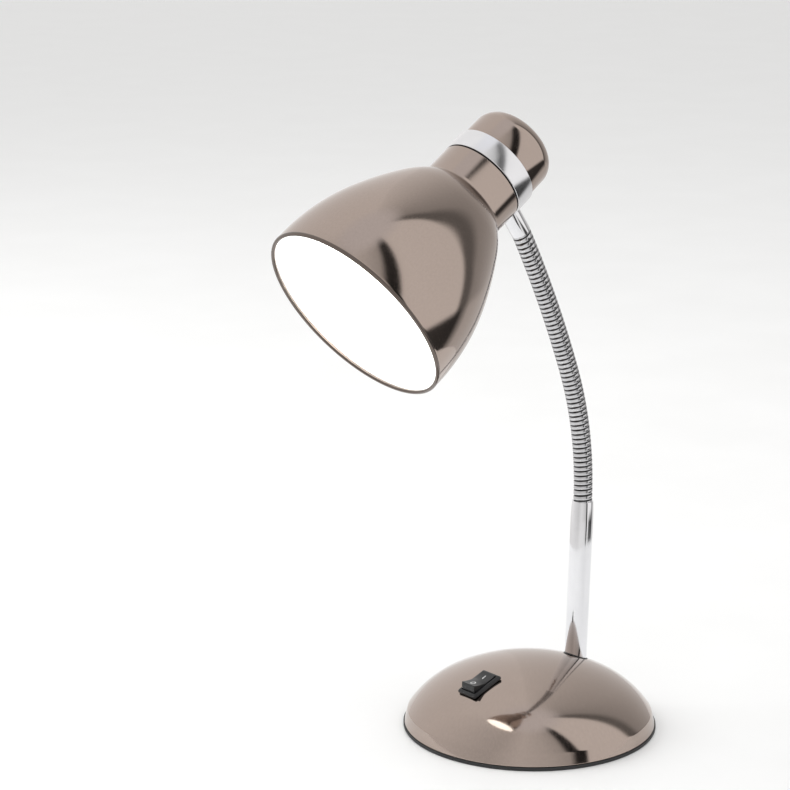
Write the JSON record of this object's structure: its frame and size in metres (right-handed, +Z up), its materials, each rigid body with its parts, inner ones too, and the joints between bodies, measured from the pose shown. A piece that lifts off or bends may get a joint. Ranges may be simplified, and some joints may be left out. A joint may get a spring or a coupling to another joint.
{
  "type": "desk lamp",
  "caption": "Desk lamp with a bell-shaped metal shade on a bendable gooseneck, a bright stem and a weighted dome base with a rocker switch.",
  "frame": {"origin": "centre of the base's underside, on the surface it stands on", "axes": "+Z up; -Y to the front, where the shade points and the switch is; +X to the right for someone who stands in front and looks along +Y"},
  "size_m": [0.145, 0.2337, 0.3563],
  "materials": {
    "black_nickel": "polished dark nickel plate over sheet steel",
    "chrome": "bright chrome plate",
    "white_enamel": "gloss white enamel on the shade's inside",
    "rubber_black": "matt",
    "cast_iron": "rough",
    "steel": "zinc plated",
    "brass": "bright",
    "aluminium": "satin",
    "plastic_black": "semi-gloss moulded",
    "plastic_white": "matt moulded",
    "lead_insulation": "soft insulation",
    "opal_globe": "opal, lit"
  },
  "bodies": {
    "base": {"base_pad": "rubber_black", "bottom_plate": "steel", "ballast_disc": "cast_iron", "base_shell": "black_nickel", "shell_posts": "steel", "base_screws": "steel", "stem": "chrome", "stem_nipple": "steel", "stem_washer": "steel", "stem_nut": "steel", "stem_seal": "plastic_black", "neck_root_fitting": "steel", "switch_housing": "plastic_black", "switch_terminals": "brass", "cord_inlet_bush": "plastic_black", "terminal_block": "plastic_white", "terminal_block_screws": "steel", "switch_leads": "lead_insulation", "stem_lead": "lead_insulation", "neck_lead": "lead_insulation"},
    "link_01": {"neck_link_01": "chrome"},
    "link_02": {"neck_link_02": "chrome"},
    "link_03": {"neck_link_03": "chrome"},
    "link_04": {"neck_link_04": "chrome"},
    "link_05": {"neck_link_05": "chrome"},
    "link_06": {"neck_link_06": "chrome"},
    "link_07": {"neck_link_07": "chrome"},
    "link_08": {"neck_link_08": "chrome"},
    "link_09": {"neck_link_09": "chrome"},
    "link_10": {"neck_link_10": "chrome"},
    "link_11": {"neck_link_11": "chrome"},
    "link_12": {"neck_link_12": "chrome"},
    "link_13": {"neck_link_13": "chrome"},
    "link_14": {"neck_link_14": "chrome"},
    "link_15": {"neck_link_15": "chrome"},
    "head": {"ferrule": "chrome", "ferrule_nut": "steel", "chrome_band": "chrome", "head_core": "plastic_black", "head_cap": "black_nickel", "shade": "black_nickel", "lampholder_sleeve": "plastic_white", "lampholder_base": "plastic_white", "lampholder_screw_shell": "brass", "lampholder_centre_contact": "brass", "lampholder_terminals": "brass", "lampholder_screws": "steel", "head_lead": "lead_insulation", "lampholder_leads": "lead_insulation"},
    "bulb": {"bulb_tip_contact": "brass", "bulb_screw_cap": "aluminium", "bulb_housing": "plastic_white", "bulb_light_board": "aluminium", "bulb_globe": "opal_globe"},
    "rocker": {"switch_rocker": "plastic_black"}
  },
  "joints": [
    {"name": "neck_bend_01", "type": "hinge", "parent": "base", "child": "link_01", "pos_m": [0, 0.0402, 0.12685], "axis": [1, 0, 0], "range_deg": [-8, 7], "deforming": ["neck_lead"]},
    {"name": "neck_sideways_02", "type": "hinge", "parent": "link_01", "child": "link_02", "pos_m": [0, 0.04031, 0.13825], "axis": [0, 0.9989, 0.0463], "range_deg": [-8, 8]},
    {"name": "neck_bend_03", "type": "hinge", "parent": "link_02", "child": "link_03", "pos_m": [0, 0.03978, 0.14964], "axis": [1, 0, 0], "range_deg": [-8, 7]},
    {"name": "neck_sideways_04", "type": "hinge", "parent": "link_03", "child": "link_04", "pos_m": [0, 0.03862, 0.16098], "axis": [0, 0.9875, 0.1576], "range_deg": [-8, 8]},
    {"name": "neck_bend_05", "type": "hinge", "parent": "link_04", "child": "link_05", "pos_m": [0, 0.03682, 0.17223], "axis": [1, 0, 0], "range_deg": [-8, 7]},
    {"name": "neck_sideways_06", "type": "hinge", "parent": "link_05", "child": "link_06", "pos_m": [0, 0.03439, 0.18337], "axis": [0, 0.9637, 0.267], "range_deg": [-8, 8]},
    {"name": "neck_bend_07", "type": "hinge", "parent": "link_06", "child": "link_07", "pos_m": [0, 0.03135, 0.19436], "axis": [1, 0, 0], "range_deg": [-8, 7]},
    {"name": "neck_sideways_08", "type": "hinge", "parent": "link_07", "child": "link_08", "pos_m": [0, 0.0277, 0.20516], "axis": [0, 0.9348, 0.3551], "range_deg": [-8, 8]},
    {"name": "neck_bend_09", "type": "hinge", "parent": "link_08", "child": "link_09", "pos_m": [0, 0.02365, 0.21582], "axis": [1, 0, 0], "range_deg": [-8, 7]},
    {"name": "neck_sideways_10", "type": "hinge", "parent": "link_09", "child": "link_10", "pos_m": [0, 0.01941, 0.2264], "axis": [0, 0.9219, 0.3875], "range_deg": [-8, 8]},
    {"name": "neck_bend_11", "type": "hinge", "parent": "link_10", "child": "link_11", "pos_m": [0, 0.015, 0.23691], "axis": [1, 0, 0], "range_deg": [-8, 7]},
    {"name": "neck_sideways_12", "type": "hinge", "parent": "link_11", "child": "link_12", "pos_m": [0, 0.0104, 0.24734], "axis": [0, 0.9078, 0.4195], "range_deg": [-8, 8]},
    {"name": "neck_bend_13", "type": "hinge", "parent": "link_12", "child": "link_13", "pos_m": [0, 0.00561, 0.25769], "axis": [1, 0, 0], "range_deg": [-8, 7]},
    {"name": "neck_sideways_14", "type": "hinge", "parent": "link_13", "child": "link_14", "pos_m": [0, 0.00065, 0.26795], "axis": [0, 0.8926, 0.4509], "range_deg": [-8, 8]},
    {"name": "neck_bend_15", "type": "hinge", "parent": "link_14", "child": "link_15", "pos_m": [0, -0.00449, 0.27813], "axis": [1, 0, 0], "range_deg": [-8, 7]},
    {"name": "neck_sideways_16", "type": "hinge", "parent": "link_15", "child": "head", "pos_m": [0, -0.0098, 0.28821], "axis": [0, 0.8846, 0.4664], "range_deg": [-8, 8]},
    {"name": "switch_rocking", "type": "hinge", "parent": "base", "child": "rocker", "pos_m": [0, -0.03852, 0.0333], "axis": [1, 0, 0], "range_deg": [0, 22]},
    {"name": "bulb_unscrewing", "type": "slide", "parent": "head", "child": "bulb", "axis": [0, -0.8206, -0.5716], "range_m": [0, 0.026]}
  ]
}
